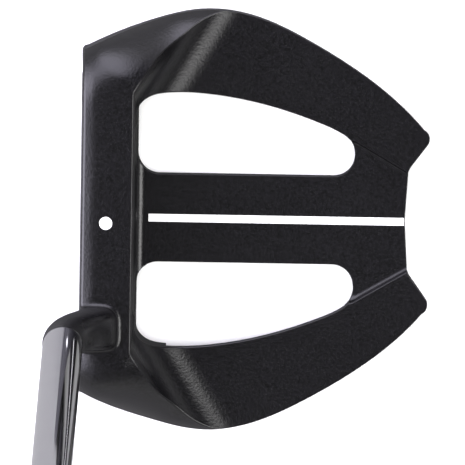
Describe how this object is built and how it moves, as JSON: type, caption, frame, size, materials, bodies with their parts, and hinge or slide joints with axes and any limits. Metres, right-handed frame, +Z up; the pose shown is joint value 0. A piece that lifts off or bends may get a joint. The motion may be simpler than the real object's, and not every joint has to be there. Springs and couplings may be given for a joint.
{
  "type": "mallet putter",
  "caption": "Right-handed mallet putter: black winged head with windows beside the centre deck, slant neck, white sight line and dot, chromed stepped shaft and pistol grip.",
  "frame": {"origin": "on the flat sole, under the sight line, 38 mm behind the leading edge", "axes": "+Z up out of the sole, +X backwards away from the strike face, +Y from heel to toe"},
  "size_m": [0.0984, 0.3715, 0.8152],
  "materials": {
    "head_steel": "satin black coating over cast stainless steel, fine grain, edges slightly polished",
    "face_polymer": "dark grey moulded polymer with level milled grooves",
    "adhesive": "cured epoxy film",
    "white_paint": "white enamel fill",
    "weight_steel": "turned stainless steel with a fine brushed face",
    "nylon": "natural nylon",
    "shaft_chrome": "bright chrome plate on a stepped steel tube",
    "tape": "double-sided paper tape",
    "grip_plastic": "black moulded ring",
    "grip_foam": "closed-cell foam",
    "grip_skin": "soft black skin with a fine raised pattern",
    "grip_rubber": "black moulded rubber"
  },
  "bodies": {
    "root": {"head_body": "head_steel", "face_insert": "face_polymer", "insert_bond": "adhesive", "sight_line_paint": "white_paint", "sight_dot_paint": "white_paint", "toe_weight": "weight_steel", "toe_weight_washer": "nylon", "heel_weight": "weight_steel", "heel_weight_washer": "nylon", "shaft": "shaft_chrome", "shaft_bond": "adhesive", "grip_tape": "tape", "grip_collar": "grip_plastic", "grip_core": "grip_foam", "grip_skin": "grip_skin", "grip_end_cap": "grip_rubber"}
  },
  "joints": []
}
